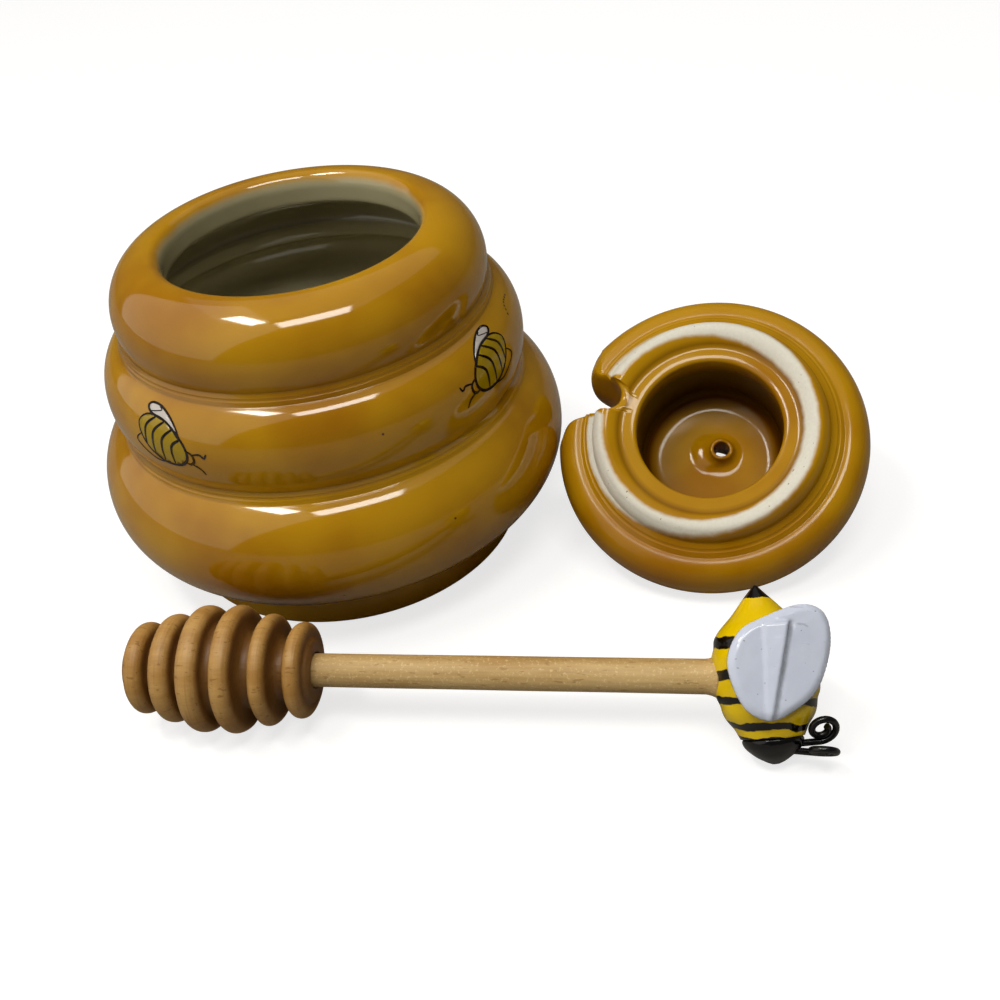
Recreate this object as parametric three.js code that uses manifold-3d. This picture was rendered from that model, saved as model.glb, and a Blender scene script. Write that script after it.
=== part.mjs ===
// Beehive honey pot: a glazed pot, its loose lid and a wooden dipper with a bee on its end.
// Millimetres, +Z up. The pot stands on its foot, the lid lies upside down beside it, tipped on
// its knob and its rim, and the dipper lies in front, along +X. The origin is on the table,
// under the middle of the whole set.
import * as THREE from 'three';
import { mergeVertices } from 'three/addons/utils/BufferGeometryUtils.js';
import Module from 'manifold-3d';

const wasm = await Module();
wasm.setup();

const QUARTER = Math.PI / 2;
const FULL_TURN = 2 * Math.PI;
const { degToRad } = THREE.MathUtils;

// Clearances that every piece shares
const SEAT_GAP = 0.3; // between two pieces that touch
const OVERRUN = 3; // how far a cutter runs past the face that it opens
const WELD = 0.0001; // corners closer than this are one

// Pot: three stacked rings on a foot, cast thin and hollow. Each ring stands proud of a valley.
const LOWER_VALLEY_RADIUS = 48;
const LOWER_VALLEY_HEIGHT = 43.3;
const UPPER_VALLEY_RADIUS = 44.4;
const UPPER_VALLEY_HEIGHT = 66.1;
const BOTTOM_RING_PROUD = 12.1; // beyond the lower valley
const MIDDLE_RING_PROUD = 4.7; // beyond the lower valley
const TOP_RING_PROUD = 1.5; // beyond the upper valley
const BOTTOM_RING_RADIUS = LOWER_VALLEY_RADIUS + BOTTOM_RING_PROUD;
const BOTTOM_RING_HEIGHT = 27.1;
const MIDDLE_RING_RADIUS = LOWER_VALLEY_RADIUS + MIDDLE_RING_PROUD;
const MIDDLE_RING_HEIGHT = 54;
const TOP_RING_RADIUS = UPPER_VALLEY_RADIUS + TOP_RING_PROUD;
const TOP_RING_HEIGHT = 73.4;
const POT_HEIGHT = 86;
const POT_WALL = 4.6;
const FOOT_RADIUS = 45.6;
const FOOT_HEIGHT = 11.6;
const FOOT_LEDGE = 1.4; // how far the bottom ring overhangs the foot where they meet
const FOOT_FLAT = 4; // width of the flat that the pot stands on
const FOOT_ROUND = 0.8;
const BASE_RECESS = 2.5;
const LIP_RADIUS = 34; // highest line of the lip
const LIP_INNER_DROP = 4;
const MOUTH_RADIUS = 31.9;
const NECK_LOW = 78.4;
const CAVITY_SHOULDER = 1.2; // how far the cavity steps out under the neck
const CAVITY_CORNER = 7; // round between the cavity's wall and its floor
const SWELL_SHARE = 0.88; // how much of the way to a valley a ring's curve runs; glaze fills the rest

// Lid: a rim ring, a locating flange under it, a shoulder and an open ring for a knob. Heights are
// from the middle of the rim ring, with the lid the right way up.
const LID_RADIUS = 38.4;
const RIM_HALF_WIDTH = 5.6;
const RIM_HALF_HEIGHT = 7.3;
const RIM_INNER_START = degToRad(150); // where the rim ring rises out of the shoulder
const FLANGE_CLEARANCE = 3.3; // flange to the pot's mouth, all round
const FLANGE_HALF_WIDTH = 3;
const FLANGE_DROP = 13.4;
const FLANGE_INNER_START = degToRad(-125); // where the slope down to the ledge leaves the crest
const LEDGE_OUTER_RADIUS = 21.5;
const LEDGE_INNER_RADIUS = 19.5;
const LEDGE_DROP = 11;
const HOLLOW_RADIUS = 17.7;
const HOLLOW_LIP_DROP = 9.6;
const HOLLOW_CORNER = 7;
const SHOULDER_RADIUS = 25.6;
const SHOULDER_LOW = 4.4;
const SHOULDER_TOP_RADIUS = 13.6;
const SHOULDER_TOP = 14.6;
const KNOB_RADIUS = 9; // centre line of the knob's ring
const KNOB_TUBE = 3.7;
const KNOB_HEIGHT = 19.3;
const KNOB_FLOOR = 13.8;
const KNOB_FILLET = 1.4;
const LID_ROOF = 3.5; // thickness of the lid in the floor of the knob
const VENT_RADIUS = 1.95;
const VENT_OFFSET = 2; // the vent was pierced off centre
const VENT_BOSS_WALL = 0.95;
const VENT_BOSS_FLARE = 2.7;
const VENT_BOSS_DROP = 2.4;
const NOTCH_ROOT = 23.3; // lid's axis to the closed end of the notch
const NOTCH_CLEARANCE = 1.3; // notch's closed end to the stick, over both sides
const NOTCH_FLARE = 7.6; // how much wider the notch is at the lid's edge
const NOTCH_DIRECTION = degToRad(197);

// Where the lid lies
const LID_BEHIND = -5.4; // lid's centre, along Y from the pot's axis
const LID_FACING = degToRad(-4.5);
const LID_TO_POT_GAP = 0.1;

// Dipper: a grooved head on a dowel
const DIPPER_TO_POT_GAP = 1;
const HEAD_CENTRE = -10.2; // middle of the head, along X from the pot's axis
const HEAD_LENGTH = 44.8;
const HEAD_RADIUS = 14.5;
const HEAD_RING_SHARES = [0.72, 0.85, 0.99, 1, 0.87, 0.745];
const HEAD_RING_GAP = 1.5;
const HEAD_GROOVE_DEPTH = 3.4;
const HEAD_ROUND_SHARE = 0.8; // how much of a quarter turn each side of a ring's edge is rounded
const HEAD_BORE_DEPTH = 15;
const STICK_RADIUS = 3.75;
const STICK_SHOWING = 86.4;
const STICK_IN_BEE = 7;

// Bee: a turned body that the dowel enters from its left flank
const BEE_BODY_RADIUS = 10.9;
const BEE_TAIL_LENGTH = 19.4; // dowel's axis back to the tip of the tail
const BEE_FRONT_LENGTH = 12.4; // dowel's axis forward to the end of the body
const BEE_HEAD_LENGTH = 5.2;
const BEE_HEAD_RADIUS = 6.2;
const BEE_NOSE_DOWN = degToRad(43.8);
const BEE_SKEW = degToRad(6);
const BEE_ROLL = degToRad(-12);
// Body outline from the tail forward: along the axis as a share of the tail's or the front's
// length, and radius as a share of the body's
const BEE_BODY_SHARES = [
  [-0.985, 0.06], [-0.74, 0.42], [-0.51, 0.78], [-0.34, 0.95], [-0.15, 1],
  [0.2, 1], [0.4, 0.96], [0.64, 0.86], [0.87, 0.7], [1, 0.63],
];
const BEE_HEAD_SHARES = [[0, 1], [0.3, 0.95], [0.62, 0.68], [0.88, 0.34], [1, 0.1]];

// Wings: one plate of two lobes on the bee's back, with a ridge where they meet
const WING_WIDTH = 21.5;
const WING_LENGTH = 22.8;
const WING_STANDOFF = 1.5; // top of the plate above the crown of the body
const WING_THICKNESS = 2.2;
const WING_CENTRE_ASIDE = 0.75;
const WING_CENTRE_FORWARD = -2.8;
const RIDGE_RISE = 1.2;
// Outlines from the middle of the plate: aside and forward, as shares of half its width and length
const WING_SHARES = [
  [-0.2, -0.83], [0.45, -0.99], [0.86, -0.88], [1, -0.55], [0.92, -0.05], [0.6, 0.55],
  [0.1, 0.88], [-0.35, 1], [-0.75, 0.78], [-0.97, 0.3], [-0.99, -0.18], [-0.7, -0.62],
];
const RIDGE_SHARES = [[-0.21, -0.74], [0.17, -0.66], [-0.36, 0.96], [-0.44, 0.96]];

// Antennae: black wire, each ending in a scroll
const WIRE_RADIUS = 0.62;
const WIRE_IN_HEAD = 1.6;
const WIRE_LEAD = 4.4; // along the wire, from the head's skin to the start of the scroll
const WIRE_LEAD_SHARES = [0, 1 / 3, 2 / 3]; // points on the straight run, from its blind end
const SCROLL_RADIUS = 2.9;
const SCROLL_EYE = 0.9;
const SCROLL_TURNS = 1.15;
// Where each wire leaves the head, as shares of the head's length and radius, how far it leans
// towards the nose, and the tilt of the plane that its scroll lies in
const LEFT_WIRE = { forwardShare: 0.24, backShare: 0.3, lean: degToRad(0), tilt: degToRad(41) };
const RIGHT_WIRE = { forwardShare: 0.55, backShare: 0.3, lean: degToRad(10), tilt: degToRad(82) };

// Number of flats round each turned piece
const POT_SIDES = 48;
const LID_SIDES = 48;
const HEAD_SIDES = 24;
const STICK_SIDES = 20;
const BEE_SIDES = 24;
const WIRE_SIDES = 6;
const SCROLL_STEPS = 24; // along the wire, in each turn of its scroll
const WING_STEPS = 30;

const honeyGlaze = new THREE.MeshStandardMaterial({ color: 0xb07a22, roughness: 0.08, metalness: 0 });
const honeyLidGlaze = new THREE.MeshStandardMaterial({ color: 0xb47c24, roughness: 0.08, metalness: 0 });
const turnedBeech = new THREE.MeshStandardMaterial({ color: 0xb88750, roughness: 0.6, metalness: 0 });
const dowelBeech = new THREE.MeshStandardMaterial({ color: 0xae8850, roughness: 0.65, metalness: 0 });
const yellowPaint = new THREE.MeshStandardMaterial({ color: 0xe2c40a, roughness: 0.3, metalness: 0 });
const blackPaint = new THREE.MeshStandardMaterial({ color: 0x16120f, roughness: 0.35, metalness: 0 });
const whitePaint = new THREE.MeshStandardMaterial({ color: 0xc3cbd9, roughness: 0.3, metalness: 0 });
const blackWire = new THREE.MeshStandardMaterial({ color: 0x0c0a09, roughness: 0.4, metalness: 0.2 });

// Merge shared corners, and drop the triangles that this leaves without an area
function welded(geometry) {
  geometry.deleteAttribute('normal');
  geometry.deleteAttribute('uv');
  const merged = mergeVertices(geometry, WELD);
  const corners = merged.index.array;
  const kept = [];
  for (let i = 0; i < corners.length; i += 3) {
    const [a, b, c] = corners.slice(i, i + 3);
    if (a !== b && b !== c && c !== a) kept.push(a, b, c);
  }
  merged.setIndex(kept);
  return merged;
}

function solidOf(geometry) {
  const closed = welded(geometry);
  const vertProperties = new Float32Array(closed.attributes.position.array);
  const triVerts = new Uint32Array(closed.index.array);
  return new wasm.Manifold(new wasm.Mesh({ numProp: 3, vertProperties, triVerts }));
}

function geometryOf(solid) {
  const mesh = solid.getMesh();
  const geometry = new THREE.BufferGeometry();
  geometry.setAttribute('position', new THREE.BufferAttribute(mesh.vertProperties, 3));
  geometry.setIndex(new THREE.BufferAttribute(mesh.triVerts, 1));
  return geometry;
}

// Name a finished shape and give it its finish
function piece(name, geometry, material) {
  geometry.computeVertexNormals();
  const mesh = new THREE.Mesh(geometry, material);
  mesh.name = name;
  return mesh;
}

// Turn an outline of [radius, height] pairs round the Z axis
function turned(outline, sides) {
  const points = outline.map(([radius, height]) => new THREE.Vector2(radius, height));
  const geometry = new THREE.LatheGeometry(points, sides);
  geometry.rotateX(QUARTER);
  return geometry;
}

function disc(radius, low, high, sides) {
  return turned([[0, low], [radius, low], [radius, high], [0, high]], sides);
}

// Turn a shape whose axis is Z so that it lies along X
function alongX(geometry) {
  geometry.rotateY(QUARTER);
  return geometry;
}

// Points on an ellipse from one angle to another, both ends included
function ellipse([radius, height], halfWidth, halfHeight, from, to, steps) {
  const points = [];
  for (let i = 0; i <= steps; i += 1) {
    const angle = from + ((to - from) * i) / steps;
    points.push([radius + halfWidth * Math.cos(angle), height + halfHeight * Math.sin(angle)]);
  }
  return points;
}

// Half of a ring's swell, from its widest line towards a valley
function swell([radius, height], [valleyRadius, valleyHeight], steps) {
  const halfWidth = radius - valleyRadius;
  const halfHeight = valleyHeight - height;
  return ellipse([valleyRadius, height], halfWidth, halfHeight, 0, QUARTER * SWELL_SHARE, steps);
}

function potOutline() {
  const ledge = [FOOT_RADIUS + FOOT_LEDGE, FOOT_HEIGHT];
  const bottom = [BOTTOM_RING_RADIUS, BOTTOM_RING_HEIGHT];
  const middle = [MIDDLE_RING_RADIUS, MIDDLE_RING_HEIGHT];
  const lowerValley = [LOWER_VALLEY_RADIUS, LOWER_VALLEY_HEIGHT];
  const upperValley = [UPPER_VALLEY_RADIUS, UPPER_VALLEY_HEIGHT];
  const top = [LIP_RADIUS, TOP_RING_HEIGHT];
  const topHalfWidth = TOP_RING_RADIUS - LIP_RADIUS;
  const topStart = Math.acos((UPPER_VALLEY_RADIUS - LIP_RADIUS) / topHalfWidth);
  const topDrop = (TOP_RING_HEIGHT - UPPER_VALLEY_HEIGHT) / Math.sin(topStart);
  const topRise = POT_HEIGHT - TOP_RING_HEIGHT;
  const lip = [LIP_RADIUS, POT_HEIGHT - LIP_INNER_DROP];
  const footInner = FOOT_RADIUS - FOOT_ROUND - FOOT_FLAT;
  return [
    [0, BASE_RECESS],
    [footInner - BASE_RECESS, BASE_RECESS],
    [footInner, 0],
    [FOOT_RADIUS - FOOT_ROUND, 0],
    [FOOT_RADIUS, FOOT_ROUND],
    [FOOT_RADIUS, FOOT_HEIGHT],
    ...swell(bottom, ledge, 4).reverse(),
    ...swell(bottom, lowerValley, 4).slice(1),
    ...swell(middle, lowerValley, 3).reverse(),
    ...swell(middle, upperValley, 3).slice(1),
    ...ellipse(top, topHalfWidth, topDrop, -topStart, 0, 2),
    ...ellipse(top, topHalfWidth, topRise, 0, QUARTER, 5).slice(1),
    ...ellipse(lip, LIP_RADIUS - MOUTH_RADIUS, LIP_INNER_DROP, QUARTER, 2 * QUARTER, 2).slice(1),
    [MOUTH_RADIUS, NECK_LOW],
  ];
}

// The cavity follows the rings, one wall inside them
function cavityOutline() {
  const halfWall = POT_WALL / 2;
  const bottom = [BOTTOM_RING_RADIUS - POT_WALL, BOTTOM_RING_HEIGHT];
  const middle = [MIDDLE_RING_RADIUS - POT_WALL, MIDDLE_RING_HEIGHT];
  const top = [TOP_RING_RADIUS - POT_WALL, (UPPER_VALLEY_HEIGHT + NECK_LOW) / 2];
  const lower = LOWER_VALLEY_RADIUS - POT_WALL;
  const upper = UPPER_VALLEY_RADIUS - POT_WALL;
  const well = FOOT_RADIUS - POT_WALL;
  const floor = BASE_RECESS + POT_WALL;
  const underNeck = [MOUTH_RADIUS + CAVITY_SHOULDER, NECK_LOW - CAVITY_SHOULDER / 2];
  const corner = [well - CAVITY_CORNER, floor + CAVITY_CORNER];
  return [
    underNeck,
    ...swell(top, underNeck, 2).reverse(),
    ...swell(top, [upper, UPPER_VALLEY_HEIGHT + halfWall], 2).slice(1),
    ...swell(middle, [upper, UPPER_VALLEY_HEIGHT - halfWall], 2).reverse(),
    ...swell(middle, [lower, LOWER_VALLEY_HEIGHT + halfWall], 2).slice(1),
    ...swell(bottom, [lower, LOWER_VALLEY_HEIGHT - halfWall], 3).reverse(),
    ...swell(bottom, [well, FOOT_HEIGHT + POT_WALL], 3).slice(1),
    ...ellipse(corner, CAVITY_CORNER, CAVITY_CORNER, 0, -QUARTER, 2),
    [0, floor],
  ];
}

function pot() {
  const geometry = welded(turned([...potOutline(), ...cavityOutline()], POT_SIDES));
  return piece('pot', geometry, honeyGlaze);
}

function lidOutline() {
  const rim = LID_RADIUS - RIM_HALF_WIDTH;
  const flange = MOUTH_RADIUS - FLANGE_CLEARANCE;
  const crest = [flange - FLANGE_HALF_WIDTH, -RIM_HALF_HEIGHT];
  const grooveEnd = Math.acos((rim - flange) / RIM_HALF_WIDTH) - 2 * QUARTER;
  const roof = KNOB_FLOOR - LID_ROOF;
  const corner = [HOLLOW_RADIUS - HOLLOW_CORNER, roof - HOLLOW_CORNER];
  const shoulder = [SHOULDER_TOP_RADIUS, SHOULDER_LOW];
  const shoulderWidth = SHOULDER_RADIUS - SHOULDER_TOP_RADIUS;
  const knobOuter = KNOB_RADIUS + KNOB_TUBE;
  return [
    [0, roof],
    ...ellipse(corner, HOLLOW_CORNER, HOLLOW_CORNER, QUARTER, 0, 3),
    [HOLLOW_RADIUS, -HOLLOW_LIP_DROP],
    [LEDGE_INNER_RADIUS, -LEDGE_DROP],
    [LEDGE_OUTER_RADIUS, -LEDGE_DROP],
    ...ellipse(crest, FLANGE_HALF_WIDTH, FLANGE_DROP - RIM_HALF_HEIGHT, FLANGE_INNER_START, 0, 4),
    ...ellipse([rim, 0], RIM_HALF_WIDTH, RIM_HALF_HEIGHT, grooveEnd, RIM_INNER_START, 10),
    ...ellipse(shoulder, shoulderWidth, SHOULDER_TOP - SHOULDER_LOW, 0, QUARTER, 4),
    [(SHOULDER_TOP_RADIUS + knobOuter) / 2, SHOULDER_TOP + KNOB_FILLET],
    ...ellipse([KNOB_RADIUS, KNOB_HEIGHT], KNOB_TUBE, KNOB_TUBE, 0, 2 * QUARTER, 6),
    [KNOB_RADIUS - KNOB_TUBE, KNOB_FLOOR],
    [0, KNOB_FLOOR],
  ];
}

// A slot for the dipper's stick, cut through the rim ring and the flange
function notchCutter() {
  const width = 2 * STICK_RADIUS + NOTCH_CLEARANCE;
  const halfMouth = (width + NOTCH_FLARE) / 2;
  const mouth = LID_RADIUS + OVERRUN;
  const bottom = FLANGE_DROP + OVERRUN;
  const shape = new THREE.Shape();
  shape.absarc(NOTCH_ROOT + width / 2, 0, width / 2, QUARTER, 3 * QUARTER, false);
  shape.lineTo(LID_RADIUS, -halfMouth);
  shape.lineTo(mouth, -halfMouth);
  shape.lineTo(mouth, halfMouth);
  shape.lineTo(LID_RADIUS, halfMouth);
  shape.closePath();
  const depth = bottom + RIM_HALF_HEIGHT + OVERRUN;
  const geometry = new THREE.ExtrudeGeometry(shape, { depth, bevelEnabled: false, curveSegments: 5 });
  geometry.translate(0, 0, -bottom);
  geometry.rotateZ(NOTCH_DIRECTION);
  return geometry;
}

// A small collar round the vent, hanging from the roof of the hollow
function ventBoss() {
  const roof = KNOB_FLOOR - LID_ROOF;
  const tip = roof - VENT_BOSS_DROP;
  const root = (roof + KNOB_FLOOR) / 2;
  const narrow = VENT_RADIUS + VENT_BOSS_WALL;
  const wide = narrow + VENT_BOSS_FLARE;
  const geometry = turned([[0, tip], [narrow, tip], [wide, roof], [wide, root], [0, root]], STICK_SIDES);
  geometry.translate(VENT_OFFSET, 0, 0);
  return geometry;
}

function ventCutter() {
  const low = KNOB_FLOOR - LID_ROOF - VENT_BOSS_DROP - OVERRUN;
  const high = KNOB_HEIGHT + KNOB_TUBE + OVERRUN;
  const geometry = disc(VENT_RADIUS, low, high, STICK_SIDES);
  geometry.translate(VENT_OFFSET, 0, 0);
  return geometry;
}

function lid() {
  const body = solidOf(turned(lidOutline(), LID_SIDES)).add(solidOf(ventBoss()));
  const open = body.subtract(solidOf(notchCutter())).subtract(solidOf(ventCutter()));
  return piece('lid', geometryOf(open), honeyLidGlaze);
}

// How far a tipped lid's centre stands above the table, on its rim and on its knob
function heightOnRim(lean) {
  const rim = LID_RADIUS - RIM_HALF_WIDTH;
  return rim * Math.sin(lean) + Math.hypot(RIM_HALF_WIDTH * Math.sin(lean), RIM_HALF_HEIGHT * Math.cos(lean));
}

function heightOnKnob(lean) {
  return KNOB_HEIGHT * Math.cos(lean) + KNOB_RADIUS * Math.sin(lean) + KNOB_TUBE;
}

// Upside down, the lid leans until its rim and its knob both touch the table
function restingLean() {
  let low = 0;
  let high = QUARTER;
  for (let halvings = 40; halvings > 0; halvings -= 1) {
    const lean = (low + high) / 2;
    if (heightOnRim(lean) < heightOnKnob(lean)) low = lean;
    else high = lean;
  }
  return high;
}

function lidBesidePot() {
  const lean = restingLean();
  const reach = BOTTOM_RING_RADIUS + LID_RADIUS + LID_TO_POT_GAP;
  const tipped = new THREE.Group();
  tipped.rotation.x = 2 * QUARTER + lean;
  tipped.add(lid());
  const placed = new THREE.Group();
  placed.position.set(Math.sqrt(reach ** 2 - LID_BEHIND ** 2), LID_BEHIND, heightOnRim(lean));
  placed.rotation.z = LID_FACING;
  placed.add(tipped);
  return placed;
}

// Six rounded rings with grooves between them; the end rings run on to the flat ends
function headOutline() {
  const pitch = HEAD_LENGTH / HEAD_RING_SHARES.length;
  const halfWidth = (pitch - HEAD_RING_GAP) / 2;
  const left = HEAD_CENTRE - HEAD_LENGTH / 2;
  const round = QUARTER * HEAD_ROUND_SHARE;
  const rings = HEAD_RING_SHARES.flatMap((share, i) => {
    const base = share * HEAD_RADIUS - HEAD_GROOVE_DEPTH;
    const middle = left + pitch * (i + 1 / 2);
    return [
      [base, middle - halfWidth],
      ...ellipse([base, middle], HEAD_GROOVE_DEPTH, halfWidth, -round, round, 4),
      [base, middle + halfWidth],
    ];
  });
  const [firstRadius] = rings[0];
  const [lastRadius] = rings[rings.length - 1];
  const right = left + HEAD_LENGTH;
  return [[0, left], [firstRadius, left], ...rings, [lastRadius, right], [0, right]];
}

function dipperHead() {
  const right = HEAD_CENTRE + HEAD_LENGTH / 2;
  const bottom = right - HEAD_BORE_DEPTH - SEAT_GAP;
  const head = solidOf(alongX(turned(headOutline(), HEAD_SIDES)));
  const bore = solidOf(alongX(disc(STICK_RADIUS + SEAT_GAP, bottom, right + OVERRUN, STICK_SIDES)));
  return piece('dipper_head', geometryOf(head.subtract(bore)), turnedBeech);
}

function stickEnds() {
  const headEnd = HEAD_CENTRE + HEAD_LENGTH / 2;
  return { start: headEnd - HEAD_BORE_DEPTH, end: headEnd + STICK_SHOWING + STICK_IN_BEE };
}

function dipperStick() {
  const { start, end } = stickEnds();
  const geometry = welded(alongX(disc(STICK_RADIUS, start, end, STICK_SIDES)));
  return piece('dipper_stick', geometry, dowelBeech);
}

// Bee's own frame: +Z forward to the nose, +Y up from its back, centred on the dowel's axis
function beeFrame() {
  const { end } = stickEnds();
  const frame = new THREE.Group();
  frame.position.set(end - STICK_IN_BEE + BEE_BODY_RADIUS, 0, 0);
  frame.rotation.set(QUARTER + BEE_NOSE_DOWN, BEE_SKEW, BEE_ROLL);
  frame.updateMatrix();
  return frame;
}

// Body outline, let out by a clearance where a neighbour is cut to fit it
function beeBodyOutline(clearance) {
  const outline = BEE_BODY_SHARES.map(([along, across]) => [
    across * BEE_BODY_RADIUS + clearance,
    along * (along < 0 ? BEE_TAIL_LENGTH : BEE_FRONT_LENGTH),
  ]);
  const [frontRadius] = outline[outline.length - 1];
  const front = BEE_FRONT_LENGTH + clearance;
  return [[0, -BEE_TAIL_LENGTH - clearance], ...outline, [frontRadius, front], [0, front]];
}

function beeBody(frame) {
  const { end } = stickEnds();
  const mouth = end - STICK_IN_BEE - OVERRUN;
  const bore = alongX(disc(STICK_RADIUS + SEAT_GAP, mouth, end + SEAT_GAP, STICK_SIDES));
  bore.applyMatrix4(frame.matrix.clone().invert());
  const body = solidOf(turned(beeBodyOutline(0), BEE_SIDES)).subtract(solidOf(bore));
  return piece('bee_body', geometryOf(body), yellowPaint);
}

// A wire's own frame: its origin on the head's skin, and +X out along the wire
function wireFrame({ forwardShare, backShare, lean }) {
  const skin = BEE_HEAD_RADIUS * Math.sqrt(1 - backShare ** 2 - forwardShare ** 2);
  const back = backShare * BEE_HEAD_RADIUS;
  const forward = BEE_FRONT_LENGTH + SEAT_GAP + forwardShare * BEE_HEAD_LENGTH;
  return new THREE.Matrix4().makeRotationY(-lean).setPosition(skin, back, forward);
}

// The wire runs straight out sideways, then winds inwards
function wirePath(tilt) {
  const lead = WIRE_IN_HEAD + WIRE_LEAD;
  const points = WIRE_LEAD_SHARES.map((share) => new THREE.Vector3(lead * share - WIRE_IN_HEAD, 0, 0));
  const steps = Math.round(SCROLL_TURNS * SCROLL_STEPS);
  for (let i = 0; i <= steps; i += 1) {
    const angle = (i / SCROLL_STEPS) * FULL_TURN;
    const radius = SCROLL_RADIUS - ((SCROLL_RADIUS - SCROLL_EYE) * i) / steps;
    const inwards = SCROLL_RADIUS - radius * Math.cos(angle);
    points.push(new THREE.Vector3(
      WIRE_LEAD + radius * Math.sin(angle),
      inwards * Math.sin(tilt),
      -inwards * Math.cos(tilt),
    ));
  }
  return points;
}

function antenna(name, wire) {
  const points = wirePath(wire.tilt);
  const section = new THREE.Shape();
  section.absarc(0, 0, WIRE_RADIUS, 0, FULL_TURN, false);
  const geometry = new THREE.ExtrudeGeometry(section, {
    steps: points.length - 1,
    curveSegments: WIRE_SIDES / 2,
    bevelEnabled: false,
    extrudePath: new THREE.CatmullRomCurve3(points),
  });
  geometry.applyMatrix4(wireFrame(wire));
  return piece(name, welded(geometry), blackWire);
}

// A blind hole in the head for the end of one wire
function wireHole(wire) {
  const bottom = -WIRE_IN_HEAD - SEAT_GAP;
  const hole = alongX(disc(WIRE_RADIUS + SEAT_GAP, bottom, BEE_HEAD_RADIUS, 2 * WIRE_SIDES));
  hole.applyMatrix4(wireFrame(wire));
  return solidOf(hole);
}

function beeHead() {
  const start = BEE_FRONT_LENGTH + SEAT_GAP;
  const outline = BEE_HEAD_SHARES.map(([along, across]) => [
    across * BEE_HEAD_RADIUS,
    start + along * BEE_HEAD_LENGTH,
  ]);
  const head = solidOf(turned([[0, start], ...outline, [0, start + BEE_HEAD_LENGTH]], BEE_SIDES))
    .subtract(wireHole(LEFT_WIRE))
    .subtract(wireHole(RIGHT_WIRE));
  return piece('bee_head', geometryOf(head), blackPaint);
}

// Outline on the plane of the bee's back
function wingPoints(shares) {
  return shares.map(([aside, forward]) => new THREE.Vector2(
    WING_CENTRE_ASIDE + (aside * WING_WIDTH) / 2,
    -(WING_CENTRE_FORWARD + (forward * WING_LENGTH) / 2),
  ));
}

// The same outline with its corners rounded by a closed curve
function softened(points) {
  const curve = new THREE.CatmullRomCurve3(points.map((p) => new THREE.Vector3(p.x, p.y, 0)), true);
  return curve.getPoints(WING_STEPS).slice(1).map((p) => new THREE.Vector2(p.x, p.y));
}

function wingPlate(points, bottom, top) {
  const depth = top - bottom;
  const geometry = new THREE.ExtrudeGeometry(new THREE.Shape(points), { depth, bevelEnabled: false });
  geometry.translate(0, 0, bottom);
  geometry.rotateX(-QUARTER);
  return solidOf(geometry);
}

function beeWings() {
  const top = BEE_BODY_RADIUS + WING_STANDOFF;
  const plate = wingPlate(softened(wingPoints(WING_SHARES)), top - WING_THICKNESS, top);
  const ridge = wingPlate(wingPoints(RIDGE_SHARES), top - RIDGE_RISE / 2, top + RIDGE_RISE);
  const back = solidOf(turned(beeBodyOutline(SEAT_GAP), BEE_SIDES));
  return piece('bee_wings', geometryOf(plate.add(ridge).subtract(back)), whitePaint);
}

function dipper() {
  const lying = new THREE.Group();
  lying.position.set(0, -(BOTTOM_RING_RADIUS + DIPPER_TO_POT_GAP + HEAD_RADIUS), HEAD_RADIUS);
  const bee = beeFrame();
  bee.add(beeBody(bee), beeHead(), beeWings());
  bee.add(antenna('antenna_left', LEFT_WIRE), antenna('antenna_right', RIGHT_WIRE));
  lying.add(dipperHead(), dipperStick(), bee);
  return lying;
}

const honeySet = new THREE.Group();
honeySet.add(pot(), lidBesidePot(), dipper());

// Bring the table under the middle of the set to the origin
const box = new THREE.Box3().setFromObject(honeySet, true);
const middle = box.getCenter(new THREE.Vector3());
honeySet.position.set(-middle.x, -middle.y, -box.min.z);
honeySet.updateMatrixWorld(true);

export default honeySet;
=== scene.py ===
from math import atan2, cos, degrees, exp, hypot, log, pi, radians, sin

import bmesh
import bpy
from mathutils import Matrix, Vector, noise


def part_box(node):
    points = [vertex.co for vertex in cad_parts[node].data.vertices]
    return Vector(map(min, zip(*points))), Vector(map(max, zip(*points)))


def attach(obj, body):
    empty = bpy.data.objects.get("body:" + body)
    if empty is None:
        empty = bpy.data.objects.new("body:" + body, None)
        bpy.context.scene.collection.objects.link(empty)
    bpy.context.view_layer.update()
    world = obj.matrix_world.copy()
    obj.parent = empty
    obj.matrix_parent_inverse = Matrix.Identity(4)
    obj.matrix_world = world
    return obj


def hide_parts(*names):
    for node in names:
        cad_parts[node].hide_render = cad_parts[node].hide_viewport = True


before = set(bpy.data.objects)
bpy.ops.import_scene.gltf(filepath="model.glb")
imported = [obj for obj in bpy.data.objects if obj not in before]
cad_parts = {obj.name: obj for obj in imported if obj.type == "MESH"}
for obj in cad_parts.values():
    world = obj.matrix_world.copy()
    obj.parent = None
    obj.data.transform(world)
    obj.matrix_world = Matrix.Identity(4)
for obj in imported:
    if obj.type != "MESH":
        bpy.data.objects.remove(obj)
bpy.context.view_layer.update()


# Camera: it stands in front of the pot, over the dipper, and looks down at
# the set. The pot's axis is where every other place is counted from.
def put_in(name, data):
    """A new object of the scene that holds this data."""
    made = bpy.data.objects.new(name, data)
    bpy.context.scene.collection.objects.link(made)
    return made


pot_low, pot_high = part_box("pot")
pot_foot = Vector(((pot_low.x + pot_high.x) / 2, (pot_low.y + pot_high.y) / 2, 0))

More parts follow.
